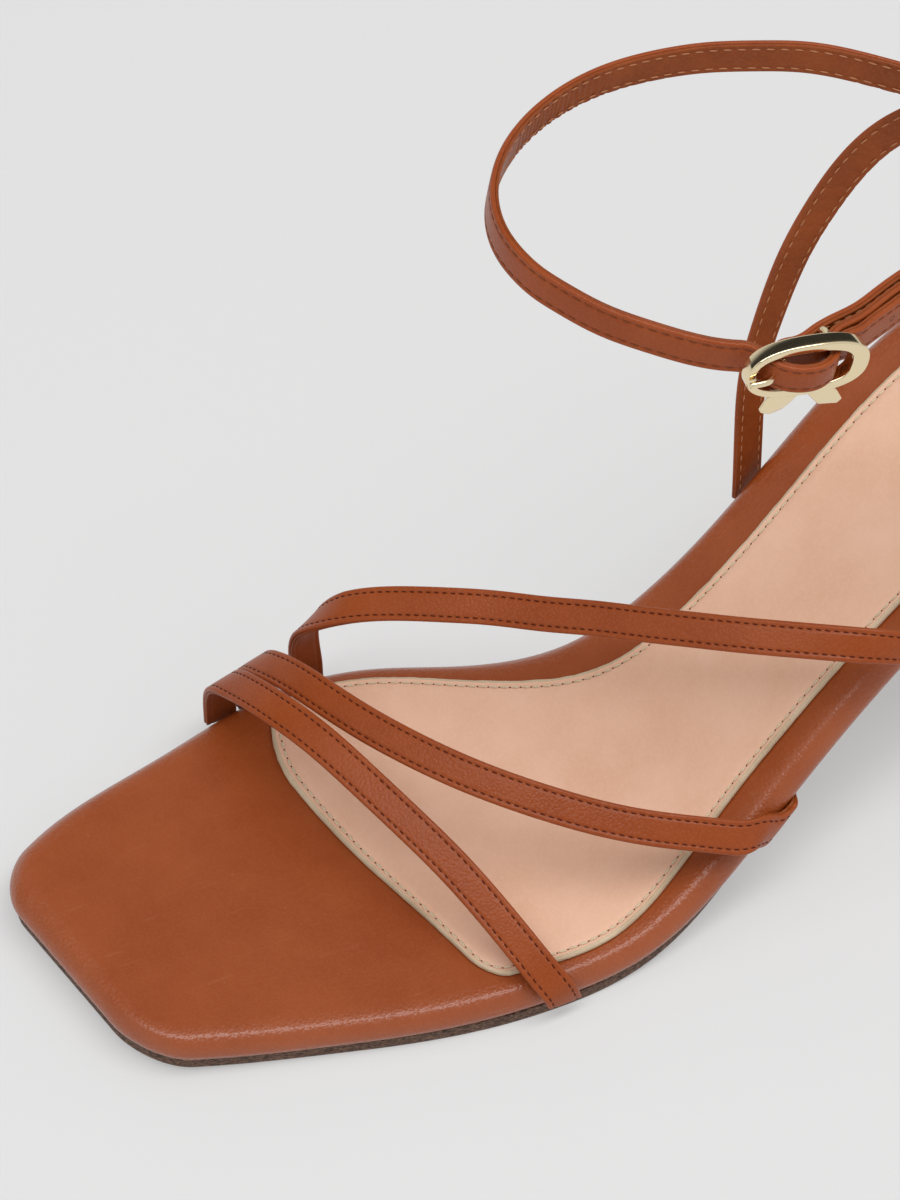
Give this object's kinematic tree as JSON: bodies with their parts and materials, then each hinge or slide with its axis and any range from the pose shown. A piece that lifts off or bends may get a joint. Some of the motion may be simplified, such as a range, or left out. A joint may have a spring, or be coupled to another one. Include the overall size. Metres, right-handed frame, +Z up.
{
  "type": "heeled sandal",
  "caption": "Heeled open sandal for the left foot: slim straps over a square-toed footbed, a slack buckled ankle strap carried by a sling, and a covered heel.",
  "frame": {"origin": "middle of the bounding box, on the floor the sandal stands on", "axes": "+X towards the toe, +Y towards the outer side of the left foot, +Z up"},
  "size_m": [0.2462, 0.0896, 0.1586],
  "materials": {
    "tan_leather": "smooth, satin",
    "nude_leather": "smooth, matt",
    "sole_leather": "cut fibrous edge",
    "tip_rubber": "matt",
    "pale_gold": "polished, pale gold plate"
  },
  "bodies": {
    "root": {"outsole": "sole_leather", "footbed": "tan_leather", "sock": "nude_leather", "heel": "tan_leather", "heel_top_piece": "tip_rubber", "toe_strap_front": "tan_leather", "toe_strap_rear": "tan_leather", "instep_strap": "tan_leather", "ankle_strap": "tan_leather", "buckle_frame": "pale_gold", "buckle_prong": "pale_gold"}
  },
  "joints": []
}
